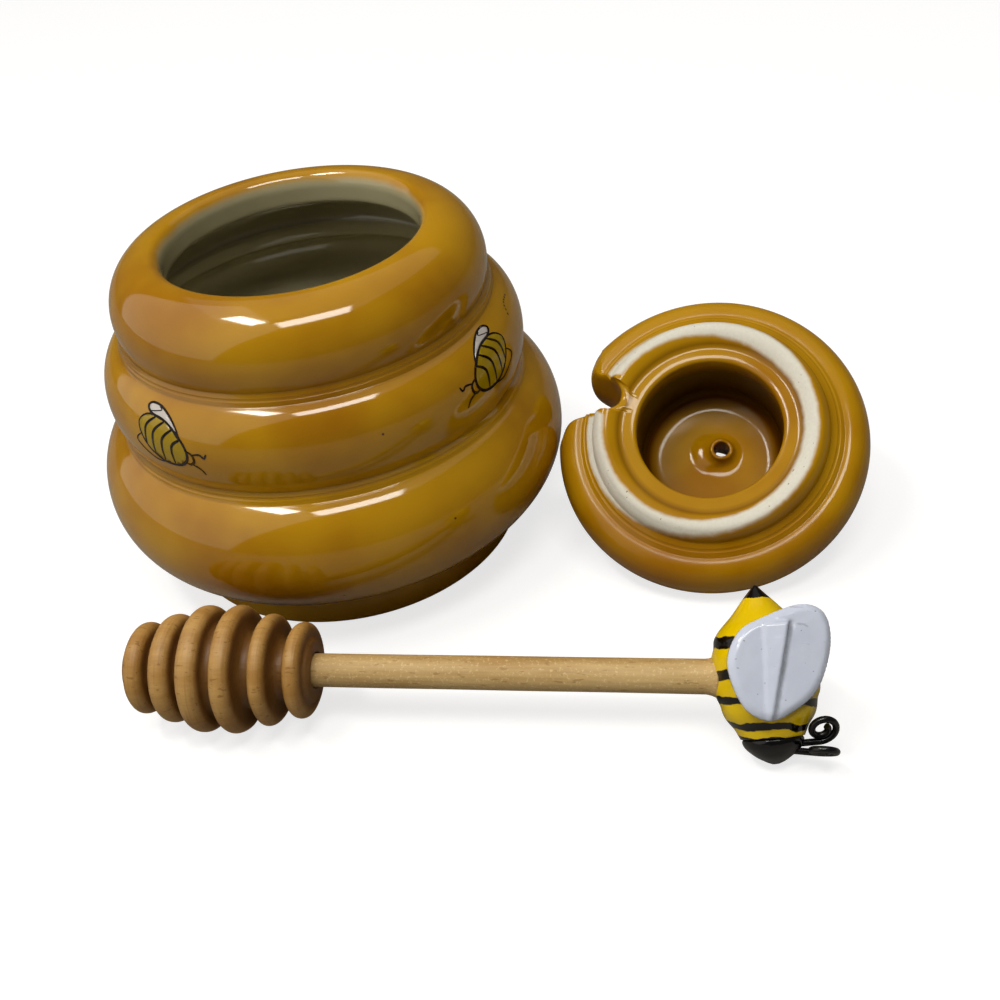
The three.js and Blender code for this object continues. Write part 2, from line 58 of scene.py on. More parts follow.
CAMERA_LENS = 44.443
CAMERA_TURN, CAMERA_TILT, CAMERA_ROLL = 12.576, 52.658, -8.168  # degrees
camera_data = bpy.data.cameras.new("camera")
camera_data.lens = CAMERA_LENS
camera = put_in("camera", camera_data)
camera.matrix_world = (
    Matrix.Translation(pot_foot + Vector((0.09973, -0.26103, 0.20732)))
    @ Matrix.Rotation(radians(CAMERA_TURN), 4, "Z")
    @ Matrix.Rotation(radians(CAMERA_TILT), 4, "X")
    @ Matrix.Rotation(radians(CAMERA_ROLL), 4, "Z")
)
bpy.context.scene.camera = camera
bpy.context.scene.view_settings.view_transform = "Standard"


# Pot: a cast beehive of three swelling rings on a short foot, in white
# earthenware. It is dipped in a honey glaze outside and a grey-cream one
# inside, and the glaze pools dark in the valleys between the rings.
def arc(centre, half, start, end, steps):
    """Points of an ellipse's arc, as (distance from the axis, height), angles in degrees."""
    turn = [radians(start + (end - start) * i / steps) for i in range(steps + 1)]
    return [(centre[0] + half[0] * cos(t), centre[1] + half[1] * sin(t)) for t in turn]


def rolled(first, second, ball, steps=8):
    """Two runs of an outline joined by the round that a ball leaves in the valley between."""
    best = None
    for i in range(1, len(first)):
        ahead = Vector(first[i]) - Vector(first[i - 1])
        centre = Vector(first[i]) + Vector((ahead.y, -ahead.x)).normalized() * ball
        reach = [(Vector(p) - centre).length for p in second]
        j = min(range(len(second)), key=reach.__getitem__)
        if best is None or abs(reach[j] - ball) < best[0]:
            best = (abs(reach[j] - ball), i, j, centre)
    _, i, j, centre = best
    start = Vector(first[i]) - centre
    end = Vector(second[j]) - centre
    between = [tuple(centre + start.slerp(end, k / steps)) for k in range(1, steps)]
    return first[: i + 1] + between + second[j:]


def eased(points):
    """An outline with its corners cut softly; its two ends stay."""
    cut = [points[0]]
    for a, b in zip(points, points[1:]):
        cut.append(tuple(0.75 * x + 0.25 * y for x, y in zip(a, b)))
        cut.append(tuple(0.25 * x + 0.75 * y for x, y in zip(a, b)))
    return cut + [points[-1]]


def lathe(outline, sectors, tags=(), closed=False):
    """An outline (from the axis, height, shares...) spun round Z, sector by (degrees, steps)."""
    bm = bmesh.new()
    layers = [bm.verts.layers.float.new(tag) for tag in tags]
    corners = []
    for point in outline:
        corner = bm.verts.new((point[0], 0, point[1]))
        for layer, value in zip(layers, point[2:]):
            corner[layer] = value
        corners.append(corner)
    edges = [bm.edges.new(pair) for pair in zip(corners, corners[1:])]
    if closed:
        edges.append(bm.edges.new((corners[-1], corners[0])))
    moving = corners + edges
    for turn, steps in sectors:
        spun = bmesh.ops.spin(
            bm, geom=moving, cent=(0, 0, 0), axis=(0, 0, 1), angle=radians(turn), steps=steps,
            use_merge=turn == 360
        )
        moving = [e for e in spun["geom_last"] if not isinstance(e, bmesh.types.BMFace)]
    bmesh.ops.remove_doubles(bm, verts=bm.verts, dist=0.0005)
    bmesh.ops.recalc_face_normals(bm, faces=bm.faces)
    return bm


def set_down(name, bm, place, finishes, body, nodes=()):
    """A mesh in millimetres put in its place as a smooth piece of that body."""
    bm.transform(place @ Matrix.Scale(0.001, 4))
    mesh = bpy.data.meshes.new(name)
    bm.to_mesh(mesh)
    bm.free()
    mesh.shade_smooth()
    for finish in finishes:
        mesh.materials.append(finish)
    piece = put_in(name, mesh)
    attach(piece, body)
    if nodes:
        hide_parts(*nodes)


def shade(red, green, blue):
    """A colour given as the screen shows it, 0 to 255."""
    return [*((c / 255 / 12.92 if c < 10 else ((c / 255 + 0.055) / 1.055) ** 2.4)
              for c in (red, green, blue)), 1]


def step_in(tree, kind, inputs=None, **settings):
    """A node of a finish; each input is a value or another node's output."""
    made = tree.nodes.new("ShaderNode" + kind)
    for setting, value in settings.items():
        setattr(made, setting, value)
    for socket, value in (inputs or {}).items():
        if isinstance(value, bpy.types.NodeSocket):
            tree.links.new(value, made.inputs[socket])
        else:
            made.inputs[socket].default_value = value
    return made


def sums(tree, operation, first, second=0.5, third=0.5):
    """The result of a sum on two or three values."""
    inputs = {0: first, 1: second, 2: third}
    return step_in(tree, "Math", inputs, operation=operation).outputs[0]


def between(tree, value, low, high):
    """0 where the value is at low, 1 where it is at high, and smooth in between."""
    inputs = {"Value": value, "From Min": low, "From Max": high}
    return step_in(tree, "MapRange", inputs, interpolation_type="SMOOTHSTEP").outputs[0]


def tinted(tree, share, first, second):
    """A share of the second colour over the first."""
    inputs = {0: share, 6: first, 7: second}
    return step_in(tree, "Mix", inputs, data_type="RGBA").outputs[2]


def mottle(tree, place, size, detail=2.0, rough=0.5):
    """Cloudy unevenness whose patches are about this many millimetres across."""
    inputs = {"Vector": place, "Scale": 1000 / size, "Detail": detail, "Roughness": rough}
    return step_in(tree, "TexNoise", inputs).outputs[0]


def new_finish(name, rough, index=1.5):
    """A material with its shader, and the place on the piece in its own coordinates."""
    finish = bpy.data.materials.new(name)
    finish.use_nodes = True
    tree = finish.node_tree
    shader = tree.nodes["Principled BSDF"]
    shader.inputs["Roughness"].default_value = rough
    shader.inputs["IOR"].default_value = index
    place = tree.nodes.new("ShaderNodeTexCoord").outputs["Object"]
    return finish, tree, shader, place


def colour_with(tree, shader, colour):
    """Gives the surface its colour."""
    tree.links.new(colour, shader.inputs["Base Color"])


def dull_with(tree, shader, amount):
    """Gives the surface its dullness, from 0 for a mirror to 1."""
    tree.links.new(amount, shader.inputs["Roughness"])


def roughen(tree, shader, height, depth):
    """Bumps the surface by a height of 0 to 1 times a depth in millimetres."""
    inputs = {"Height": height, "Distance": depth / 1000, "Strength": 1}
    bump = step_in(tree, "Bump", inputs)
    tree.links.new(bump.outputs[0], shader.inputs["Normal"])


def share_of(tree, tag):
    """A share that was written on the mesh when it was made."""
    return step_in(tree, "Attribute", attribute_name=tag).outputs["Fac"]


HONEY = shade(188, 139, 10)
HONEY_DEEP = shade(158, 104, 0)
POOLED_BROWN = shade(92, 50, 0)
SPECK_BROWN = shade(70, 38, 10)
SPECKS_TO_A_METRE, SPECK_RADIUS = 75.0, 0.024  # the radius is a share of their spacing


def honey_coat(tree, place, pooled):
    """Honey glaze: clouded by its thickness, brown where it pooled, with a few dark specks."""
    cloud = mottle(tree, place, 34, 3)
    body = tinted(tree, between(tree, cloud, 0.35, 0.75), HONEY, HONEY_DEEP)
    body = tinted(tree, pooled, body, POOLED_BROWN)
    cells = step_in(tree, "TexVoronoi", {"Vector": place, "Scale": SPECKS_TO_A_METRE})
    near = sums(tree, "LESS_THAN", cells.outputs["Distance"], SPECK_RADIUS)
    few = sums(tree, "GREATER_THAN", cells.outputs["Color"], 0.6)
    return tinted(tree, sums(tree, "MULTIPLY", near, few), body, SPECK_BROWN)


BOTTOM_RING, MIDDLE_RING, TOP_RING = 27.1, 54, 73.4  # heights of the rings' widest lines
FOOT_RADIUS, LIP_RADIUS, MOUTH_RADIUS = 45.6, 34, 31.1
FOOT_BALL, VALLEY_BALL = 0.7, 2
lower_neck, lower_half = 48, (4.7, 10.7)  # the middle ring's arc below its widest line
upper_neck, upper_half = 44.4, (8.3, 12.1)  # and above it
bottom_ring = (
    arc((47, BOTTOM_RING), (13.1, 15.5), -84, 0, 30)
    + arc((48, BOTTOM_RING), (12.1, 16.2), 0, 84, 30)[1:]
)
middle_ring = (
    arc((lower_neck, MIDDLE_RING), lower_half, -84, 0, 24)
    + arc((upper_neck, MIDDLE_RING), upper_half, 0, 84, 24)[1:]
)
top_ring = (
    arc((LIP_RADIUS, TOP_RING), (11.9, 15), -27, 0, 16)
    + arc((LIP_RADIUS, TOP_RING), (11.9, 12.6), 0, 90, 30)[1:]
)
foot = [(0, 2.5), (37.5, 2.5), (39.2, 2.1), (40.2, 0.5), (41, 0.05), (43, 0),
        *arc((44.8, 0.8), (0.8, 0.8), -90, 0, 5),
        *((FOOT_RADIUS, 0.8 + i) for i in range(1, 11))]
outside = rolled(foot, bottom_ring, FOOT_BALL)
outside = rolled(outside, middle_ring, VALLEY_BALL)
outside = rolled(outside, top_ring, VALLEY_BALL)
lip = arc((LIP_RADIUS, 82), (2.9, 4), 90, 180, 14)[1:]
cavity = eased(
    [(MOUTH_RADIUS, 82), (MOUTH_RADIUS, 80), (MOUTH_RADIUS, 78.5), (31.5, 78), (32.3, 77.8)]
    + arc((33.1, 72.25), (8.2, 5.55), 78, 0, 6) + arc((39.8, 72.25), (1.5, 3.85), -12, -78, 4)
    + arc((39.8, MIDDLE_RING), (8.3, 9.8), 78, 0, 8)
    + arc((43.4, MIDDLE_RING), (4.7, 8.4), -10, -78, 6)
    + arc((43.4, BOTTOM_RING), (12.1, 13.9), 78, 0, 8)
    + arc((41, BOTTOM_RING), (14.5, 10.9), -10, -78, 8)
    + arc((34, 14.1), (7, 7), 0, -90, 6) + [(20, 7.1), (0, 7.1)])

POOL_WIDTH = 2.3
valleys = ((47.4, 43.4), (44.2, 66.0), (46.0, 11.4))


def pooled_at(r, h):
    """How much glaze pooled at this place of the outline, most in a valley."""
    return max(exp(-(hypot(r - a, h - b) / POOL_WIDTH) ** 2) for a, b in valleys)


pot_outline = [(r, h, 0, pooled_at(r, h)) for r, h in outside]
pot_outline += [(r, h, (i + 1) / len(lip), 0) for i, (r, h) in enumerate(lip)]
pot_outline += [(r, h, 1, 0) for r, h in cavity[1:]]
pot_mesh = lathe(pot_outline, [(360, 168)], ("inside", "pooled"))

POT_DULLNESS = 0.08
pot_glaze, tree, shader, place = new_finish("pot_glaze", POT_DULLNESS, 1.6)
pooled = sums(tree, "MULTIPLY", share_of(tree, "pooled"), 0.8)
honey = honey_coat(tree, place, pooled)
inner = tinted(tree, mottle(tree, place, 22), shade(182, 175, 142), shade(160, 152, 114))
crossing = sums(tree, "MULTIPLY_ADD", mottle(tree, place, 9), 0.25, share_of(tree, "inside"))
colour_with(tree, shader, tinted(tree, between(tree, crossing, 0.5, 0.95), honey, inner))
dull_with(tree, shader, sums(tree, "MULTIPLY_ADD", pooled, 0.3, POT_DULLNESS))
skin = sums(tree, "MULTIPLY_ADD", mottle(tree, place, 3, 1), 0.12, mottle(tree, place, 16, 1))
roughen(tree, shader, skin, 0.035)
set_down("pot", pot_mesh, Matrix.Translation(pot_foot), [pot_glaze], "pot", ["pot"])


# Printed bees: two fired-on transfers on the middle ring, with a dotted
# trail behind one of them. Each is a film of ceramic ink, black for the
# lines and ochre and white for the fills, that follows the ring's curve.
RING_RADIUS = 52.7  # out to the middle ring's widest line
PRINT_CELL = 0.9
PRINT_LIFT, INK_FILM = 0.05, 0.03
BEE_SIZE, TRAIL_SIZE = 1.48, 0.8  # millimetres to one unit of a drawing
BROAD_PEN = 0.5
BLACK, OCHRE, WHITE = 0, 1, 2


def on_middle_ring(along, rise, proud):
    """A point of the print, wrapped on the ring: along and rise in mm from the widest line."""
    neck, half = (lower_neck, lower_half) if rise < 0 else (upper_neck, upper_half)
    turn = rise / half[1]
    out = Vector((half[1] * cos(turn), half[0] * sin(turn))).normalized() * proud
    r = neck + half[0] * cos(turn) + out.x
    h = MIDDLE_RING + half[1] * sin(turn) + out.y
    return Vector((r * cos(along / RING_RADIUS), r * sin(along / RING_RADIUS), h))


def flowing(points, steps, closed=False):
    """A smooth line through the points."""
    last = len(points)
    line = []
    for i in range(last if closed else last - 1):
        picked = [k % last if closed else min(max(k, 0), last - 1) for k in range(i - 1, i + 3)]
        a, b, c, d = (Vector(points[k]) for k in picked)
        for k in range(steps):
            t = k / steps
            line.append(0.5 * (2 * b + (c - a) * t + (2 * a - 5 * b + 4 * c - d) * t * t
                               + (3 * b - a - 3 * c + d) * t ** 3))
    return line if closed else line + [Vector(points[-1])]


def cut_across(bm, cells, axis, at, near):
    """Flat cells cut by a straight line across an axis; gives all the cells after the cut."""
    place = Vector((0, 0, 0))
    place[axis] = at
    across = Vector((1 - axis, axis, 0))
    geom = list({e for f in cells for e in (*f.verts, *f.edges, f)})
    cut = bmesh.ops.bisect_plane(bm, geom=geom, plane_co=place, plane_no=across, dist=near)
    return [e for e in cut["geom"] if isinstance(e, bmesh.types.BMFace)]


def fill_in(bm, outline, ink):
    """A filled patch of the print, cut into small cells so that it can bend."""
    patch = bm.faces.new([bm.verts.new((p.x, p.y, 0)) for p in outline])
    patch.material_index = ink
    cells = [patch]
    for axis in (0, 1):
        low = min(v.co[axis] for f in cells for v in f.verts)
        high = max(v.co[axis] for f in cells for v in f.verts)
        for k in range(1, int((high - low) / PRINT_CELL) + 1):
            cells = cut_across(bm, cells, axis, low + PRINT_CELL * k, 1e-5)


def draw(bm, line, width):
    """A black pen line of the print, thinner towards its ends."""
    sides = []
    for i, p in enumerate(line):
        ahead = (line[min(i + 1, len(line) - 1)] - line[max(i - 1, 0)]).normalized()
        swell = 0.35 + 0.65 * sin(pi * (i + 0.5) / len(line)) ** 0.5
        side = Vector((-ahead.y, ahead.x)) * width * swell / 2
        sides.append([bm.verts.new((*(p - side), 1)), bm.verts.new((*(p + side), 1))])
    for (a, b), (c, d) in zip(sides, sides[1:]):
        bm.faces.new((a, c, d, b)).material_index = BLACK


def wrap_print(name, bm, middle, rise, heading, facing, size):
    """A flat print set on the ring: middle in degrees round the pot, rise in mm, size a factor."""
    turn = Matrix.Rotation(radians(heading), 2)
    for v in bm.verts:
        flat = turn @ Vector((v.co.x, v.co.y * facing)) * size
        proud = PRINT_LIFT + INK_FILM * v.co.z
        v.co = on_middle_ring(flat.x + radians(middle) * RING_RADIUS, flat.y + rise, proud)
    bmesh.ops.solidify(bm, geom=bm.faces, thickness=-INK_FILM)
    bmesh.ops.recalc_face_normals(bm, faces=bm.faces)
    inks = [print_black, print_ochre, print_white]
    set_down(name, bm, Matrix.Translation(pot_foot), inks, "pot")


def print_bee(name, middle, rise, heading, facing=1):
    """A bee of about 21 mm with its feelers; heading in degrees from level."""
    bm = bmesh.new()
    body = flowing([(-6.1, 0.2), (-4.7, 2.5), (-1.6, 3.6), (1.8, 3), (4.3, 1.3), (4.8, -0.6),
                    (3.6, -2.4), (0.6, -3.6), (-2.6, -3.2), (-5.1, -1.6)], 8, True)
    wing = flowing([(2.9, 2.2), (1.6, 3.7), (-0.6, 4.9), (-3.2, 5.4), (-5.2, 4.8), (-5.6, 3.7),
                    (-4.2, 3.1), (-0.8, 3.6), (1.4, 3)], 8, True)
    fill_in(bm, body, OCHRE)
    fill_in(bm, wing, WHITE)
    draw(bm, body + body[:1], BROAD_PEN)
    draw(bm, wing + wing[:1], BROAD_PEN)
    for x, bend in ((-3.9, 1.6), (-1.9, 2.1), (0.2, 2.1), (2.2, 1.8)):
        high, low = 3.4 - 0.05 * (x + 1.4) ** 2, -3.4 + 0.06 * (x + 0.8) ** 2
        if x > 2:
            high, low = 2.5, -2.7
        stripe = flowing([(x + 0.9, high), (x - bend / 4, 0.3), (x + 0.5, low)], 10)
        draw(bm, stripe, BROAD_PEN)
    face = 0.46, 8, [(4.4, 1.1), (5.6, 0.9), (6.1, -0.1), (5.5, -1), (4.5, -1)]
    upper_feeler = 0.36, 8, [(5.5, 0.9), (6.8, 1.7), (7.7, 1.5), (7.9, 2.4)]
    lower_feeler = 0.36, 8, [(5.9, -0.8), (7.2, -0.9), (8.3, -1.7)]
    vein = 0.24, 6, [(-4.6, 3.2), (-2.6, 4.8), (-3.4, 5.1)]
    far_wing = 0.3, 10, [(1.8, -3), (-1.4, -4.6), (-5.8, -4), (-5, -1.8)]
    for pen, steps, points in (face, upper_feeler, lower_feeler, vein, far_wing):
        draw(bm, flowing(points, steps), pen)
    wrap_print(name, bm, middle, rise, heading, facing, BEE_SIZE)


def print_ink(name, thick, thin):
    """Ceramic ink under the gloss of the glaze, a little uneven as screen print is."""
    finish, tree, shader, place = new_finish(name, 0.12)
    colour_with(tree, shader, tinted(tree, mottle(tree, place, 0.5, 3), thick, thin))
    return finish


print_black = print_ink("print_black", shade(22, 8, 4), shade(38, 16, 6))
print_ochre = print_ink("print_ochre", shade(178, 148, 0), shade(150, 122, 10))
print_white = print_ink("print_white", shade(212, 206, 204), shade(190, 182, 170))

print_bee("printed_bee_left", -116.2, 3.4, -20)
print_bee("printed_bee_right", -21.8, 4.9, -164, -1)

DOT_RADIUS, DOT_PITCH = 0.45, 1.5
trail = bmesh.new()
for k in range(7):
    dot = flowing([(DOT_RADIUS * cos(a) + DOT_PITCH * k, DOT_RADIUS * sin(a) + 1.4 * sin(k * 0.6))
                   for a in (0, 1.57, 3.14, 4.71)], 3, True)
    trail.faces.new([trail.verts.new((p.x, p.y, 1)) for p in dot])
wrap_print("printed_trail", trail, -3, 9, 24, 1, TRAIL_SIZE)


# Lid: cast like the pot, with an open ring for a knob, a notch cut for the
# stick, and a vent pierced off centre through a small raised collar. Its
# flange's crest was wiped bare to stand on. It lies on its knob and rim.
LID_TURN, LID_LEAN = -4.5, 33.17  # degrees
NOTCH = 197  # degrees round the lid
NOTCH_SIDE = 22  # degrees to each side of it in which the lid is cut finely
ROOT, ROOT_RADIUS = 27.7, 4.4  # the notch's round root: from the axis to its centre
NOTCH_SLANT = 2.2  # mm, over the wall's height at 30 mm from the axis
HOLLOW_RADIUS = 17.7
VENT_OFF_CENTRE = Vector((2.1, -1.6))
lid_place = (
    Matrix.Translation(pot_foot + Vector((0.098452, -0.0054, 0.024779)))
    @ Matrix.Rotation(radians(LID_TURN), 4, "Z")
    @ Matrix.Rotation(radians(180 + LID_LEAN), 4, "X")
)


def in_notch(along, across):
    """Whether a point of the lid's plan is cut away: a round root, straight sides, a wide mouth."""
    if along < ROOT:
        return hypot(along - ROOT, across) < ROOT_RADIUS
    flare = 3.2 * exp((along - 37.3) * 0.55) if across > 0 else 1.2 * exp((along - 37.4) * 0.7)
    return abs(across) < ROOT_RADIUS + 0.22 * (along - ROOT) + flare


def notch_wall(angle):
    """How far from the lid's axis the notch begins, in this direction from its middle."""
    reach, past_rim = 22.0, 48
    ahead = cos(radians(angle)), sin(radians(angle))
    while reach < past_rim and not in_notch(reach * ahead[0], reach * ahead[1]):
        reach += 0.05
    return reach


hollow = [
    (2.15, 13.8), (1.95, 13.5), (1.95, 11), (1.95, 8.4),
    *arc((2.45, 8.35), (0.5, 0.5), 180, 360, 8),
    (3.15, 8.9), (3.4, 9.3), (3.7, 9.6), (4, 9.85), (4.4, 10.05), (4.9, 10.2), (5.4, 10.3),
    (6, 10.35), (6.6, 10.35), (7.3, 10.35), (8.1, 10.35), (9, 10.3),
    *arc((12.9, 5.5), (4.8, 4.8), 88, 0, 12),
    (HOLLOW_RADIUS, 3), (HOLLOW_RADIUS, 0), (HOLLOW_RADIUS, -4), (HOLLOW_RADIUS, -8.6)]
ledge = [*arc((18.7, -9.9), (1, 1), 180, 262, 5), (19.4, -11), (20.6, -11.05), (21.4, -11.1),
         (22.2, -11.6), (23.2, -12.4)]
flange = [(24, -12.95), (25, -13.3), (25.9, -13.38), (26.8, -13.1),
          *arc((25.7, -7.9), (3.2, 5.3), -62, -8, 9)]
rim = arc((32.8, 0), (5.48, 7.3), -142, 152, 64)
shoulder = arc((13.6, 4.4), (12, 10.2), -2, 86, 20)
knob = arc((9, 19.3), (3.7, 3.7), -40, 180, 34)
knob += [(5.3, 17.5), (5.3, 15.6), (5.2, 14.6), (4.8, 14), (4.2, 13.8), (3, 13.8)]
RIM_BALL, SHOULDER_BALL, KNOB_BALL = 2.3, 1.1, 1.6
lid_outside = rolled(flange, rim, RIM_BALL)
lid_outside = rolled(lid_outside, shoulder, SHOULDER_BALL)
lid_outside = rolled(lid_outside, knob, KNOB_BALL)
lid_shape = hollow + ledge + lid_outside

# Where the lid's glaze pooled, with painted shade on the hollow's wall (the three rows deeper than
# 1): distance from the axis, height, width, depth.
lid_pools_and_shade = (
    (28.9, -5.6, 2.2, 1), (26.6, 4, 1.8, 1), (13, 15.4, 1.6, 1), (22, -11.3, 0.7, 1),
    (HOLLOW_RADIUS, 6, 4.5, 2.1), (HOLLOW_RADIUS, 1.5, 4.5, 2), (HOLLOW_RADIUS, -3, 4.5, 2))


def risen(value, low, high):
    """0 up to low, 1 from high on, and smooth in between."""
    share = min(max((value - low) / (high - low), 0), 1)
    return share * share * (3 - 2 * share)


def lid_tags(r, h, i):
    """Shares along the lid's outline: vent's shift, order, bareness, pooled glaze with painted
    shade on the hollow's wall, and satin.
    """
    fades = (9 - r) / 4.5 if h < 12 else (5 - r) / 2.8
    near_vent = min(max(fades, 0), 1) if 7.8 < h < 14.2 else 0
    pool_and_shade = max(deep * exp(-(hypot(r - a, h - b) / wide) ** 2) for a, b, wide, deep in lid_pools_and_shade)
    satin = risen(r, 27.5, 30.5) if h < 12 else 0
    return near_vent, i, 0, pool_and_shade, satin


def notch_edges(reach):
    """Where the outline first and last passes this distance from the axis: (order, height)."""
    passed = []
    for k, ((r, h), (next_r, next_h)) in enumerate(zip(lid_shape, lid_shape[1:])):
        if (r - reach) * (next_r - reach) < 0:
            share = (reach - r) / (next_r - r)
            passed.append((k + share, h + (next_h - h) * share))
    return passed and (*passed[0], *passed[-1])


WIPED_CENTRE, WIPED_RADIUS, WIPED_HALF = Vector((-2.0, 0)), 26.1, 2.5
WIPED_HEIGHT = -9.4


def wiped_at(place, r):
    """How bare a place on the flange was wiped: 0.5 at the wiped ring's edges, more inside."""
    off = abs((place.xy - WIPED_CENTRE).length - WIPED_RADIUS)
    narrow = risen((place.x + place.y) / max(r, 1), -0.4, 0.7)
    above = max(0, place.z - WIPED_HEIGHT)
    return 0.5 + (WIPED_HALF - 0.6 * narrow - off) / 4 - above * 0.35


def glazed_at_notch(along, across):
    """How far the glaze at the notch reaches into the wiped ring."""
    apart = (hypot(along - ROOT, across) if along < ROOT else abs(across)) - ROOT_RADIUS
    return 0.75 * max(0, 1 - apart / 1.9) if along > 20 else 0


lid_outline = [(r, h, *lid_tags(r, h, i)) for i, (r, h) in enumerate(lid_shape)]
lid_mesh = lathe(lid_outline, [(2 * NOTCH_SIDE, 176), (360 - 2 * NOTCH_SIDE, 158)],
                 ("shift", "order", "bare", "pooled", "satin"), closed=True)
bmesh.ops.rotate(lid_mesh, verts=lid_mesh.verts,
                 matrix=Matrix.Rotation(radians(NOTCH - NOTCH_SIDE), 3, "Z"))
shift, order, bare, satin = (
    lid_mesh.verts.layers.float[tag] for tag in ("shift", "order", "bare", "satin"))
walls = {}
near_wall = []
for v in lid_mesh.verts:
    r = v.co.xy.length
    v[satin] *= 1 - 0.9 * risen(v.co.x / max(r, 1), 0.7, 0.93)
    v[bare] = wiped_at(v.co, r) if v.co.z < -6 else 0
    aside = (degrees(atan2(v.co.y, v.co.x)) - NOTCH + 180) % 360 - 180
    step = round(aside, 2)
    if r > 15 and abs(step) < NOTCH_SIDE - 0.1:
        # The notch's wall holds the lid back, and its height is shared out evenly.
        if step not in walls:
            reach = notch_wall(step)
            walls[step] = (reach, notch_edges(reach))
        reach, edges = walls[step]
        ease = (1.7 if step > 0 else 1.3) * risen(reach, 25, 35)
        ease = 0.5 + ease * min((NOTCH_SIDE - abs(step)) / 6, 1)
        new_r = reach - ease * log(exp((reach - r) / ease) + 1)
        if edges and edges[0] < v[order] < edges[2]:
            share = (v[order] - edges[0]) / (edges[2] - edges[0])
            v.co.z = edges[1] * (1 - share) + edges[3] * share
        v.co.xy = v.co.xy * (new_r / r)
        if new_r > reach - 3.4 - 1.6 * risen(reach, 27, 34):
            near_wall.append(v)
        out = v.co.xy.length
        v[bare] -= glazed_at_notch(out * cos(radians(aside)), out * sin(radians(aside)))
        lean = risen(v.co.z, -9, 6) * risen(new_r, 18, 24)
        lean *= 1 - risen(abs(aside), NOTCH_SIDE / 2, NOTCH_SIDE)
        v.co.xy = Matrix.Rotation(-lean * NOTCH_SLANT / 30, 2) @ v.co.xy
    v.co.xy += VENT_OFF_CENTRE * v[shift]
    if 7.8 < v.co.z < 11 and r < 14:
        # The collar stands on a low mound that spreads to one side.
        v.co.z -= 0.6 * (1 - risen(Vector((v.co.x + 0.6, v.co.y + 1.5)).length, 3.4, 5.2))
SMOOTHING_ROUNDS = 80
for _ in range(SMOOTHING_ROUNDS):
    bmesh.ops.smooth_vert(lid_mesh, verts=near_wall, factor=0.5,
                          use_axis_x=True, use_axis_y=True, use_axis_z=True)
bmesh.ops.recalc_face_normals(lid_mesh, faces=lid_mesh.faces)

LID_DULLNESS = 0.1
lid_glaze, tree, shader, place = new_finish("lid_glaze", LID_DULLNESS, 1.4)
# The pooled share also holds painted shade on the hollow's wall: there the glaze is painted to the
# pooled brown and, above 1.1, towards near black-brown.
pooled = share_of(tree, "pooled")
honey = honey_coat(tree, place, sums(tree, "MULTIPLY", pooled, 0.75))
honey = tinted(tree, between(tree, pooled, 1.1, 1.9), honey, shade(56, 24, 0))
ragged = sums(tree, "MULTIPLY_ADD", mottle(tree, place, 2.6, 4), 0.18, share_of(tree, "bare"))
wiped = between(tree, ragged, 0.48, 0.8)
grain = mottle(tree, place, 0.8, 4, 0.65)
bisque = tinted(tree, grain, shade(236, 233, 220), shade(214, 210, 195))
dust = between(tree, mottle(tree, place, 1.1, 2), 0.71, 0.76)
bisque = tinted(tree, dust, bisque, shade(150, 126, 84))
colour_with(tree, shader, tinted(tree, wiped, honey, bisque))
dull = sums(tree, "MULTIPLY_ADD", share_of(tree, "satin"), 0.14, LID_DULLNESS)
dull = sums(tree, "MULTIPLY_ADD", sums(tree, "MINIMUM", pooled, 1), 0.15, dull)
dull_with(tree, shader, sums(tree, "MULTIPLY_ADD", wiped, 0.75, dull))
gritty = sums(tree, "MULTIPLY", wiped, grain)
roughen(tree, shader, sums(tree, "MULTIPLY_ADD", gritty, 0.12, mottle(tree, place, 13, 1)), 0.3)
set_down("lid", lid_mesh, lid_place, [lid_glaze], "lid", ["lid"])


# Dipper's head: six rings turned from a beech blank, with round grooves
# between them that hold the honey. The lathe left fine tool marks round it,
# and the grain of the wood runs along it.
dipper_place = Matrix.Translation(pot_foot + Vector((0, -0.0756, 0.0145)))
along_x = Matrix.Rotation(radians(90), 4, "Y")
HEAD_LEFT, HEAD_RIGHT, PITCH = -32.6, 11.3, 43.9 / 6
BORE, BORE_END = 4, HEAD_RIGHT - 15.3  # the hole for the stick
LAST_RING = 5
rings = [14.5 * share for share in (0.72, 0.85, 0.99, 1, 0.87, 0.745)]
# Each ring's crest: how far it stands off the middle, and half its thickness.
crests = ((0.3, 2.35), (0, 2.5), (0, 2.6), (0.2, 2.4), (0.6, 2), (0.6, 2.05))
head_shape = [(0, HEAD_LEFT + 0.1), (rings[0] - 4.6, HEAD_LEFT + 0.1),
              (rings[0] - 3.6, HEAD_LEFT + 0.4)]
for k, (crest, (off, half)) in enumerate(zip(rings, crests)):
    middle = HEAD_LEFT + PITCH * (k + 0.5) + off
    head_shape += [(crest - 3.5, middle - half), (crest - 2.5, middle - half),
                   *arc((crest - 1.9, middle), (1.9, half), -80, 80, 12),
                   (crest - 2.5, middle + half), (crest - 3.5, middle + half)]
    if k < LAST_RING:
        root = min(crest, rings[k + 1]) - 4.2
        after = HEAD_LEFT + PITCH * (k + 1.5) + crests[k + 1][0] - crests[k + 1][1]
        head_shape += [(root, middle + half + 0.5), (root, after - 0.5)]
head_shape += [(rings[LAST_RING] - 3.7, HEAD_RIGHT - 0.3),
               (rings[LAST_RING] - 4.4, HEAD_RIGHT - 0.05), (5, HEAD_RIGHT),
               (4.2, HEAD_RIGHT - 0.1), (BORE, HEAD_RIGHT - 0.5)]
head_shape = eased(head_shape) + [(BORE, HEAD_RIGHT - 8), (BORE, BORE_END), (0, BORE_END)]


def groove_depth(r, h):
    """How deep in a groove a place on the head's outline lies, 0 to 1; it paints shade darker into
    the grooves.
    """
    ring = min(max(int((h - HEAD_LEFT) / PITCH), 0), LAST_RING)
    return min(max((rings[ring] - r) / 2.6, 0), 1)


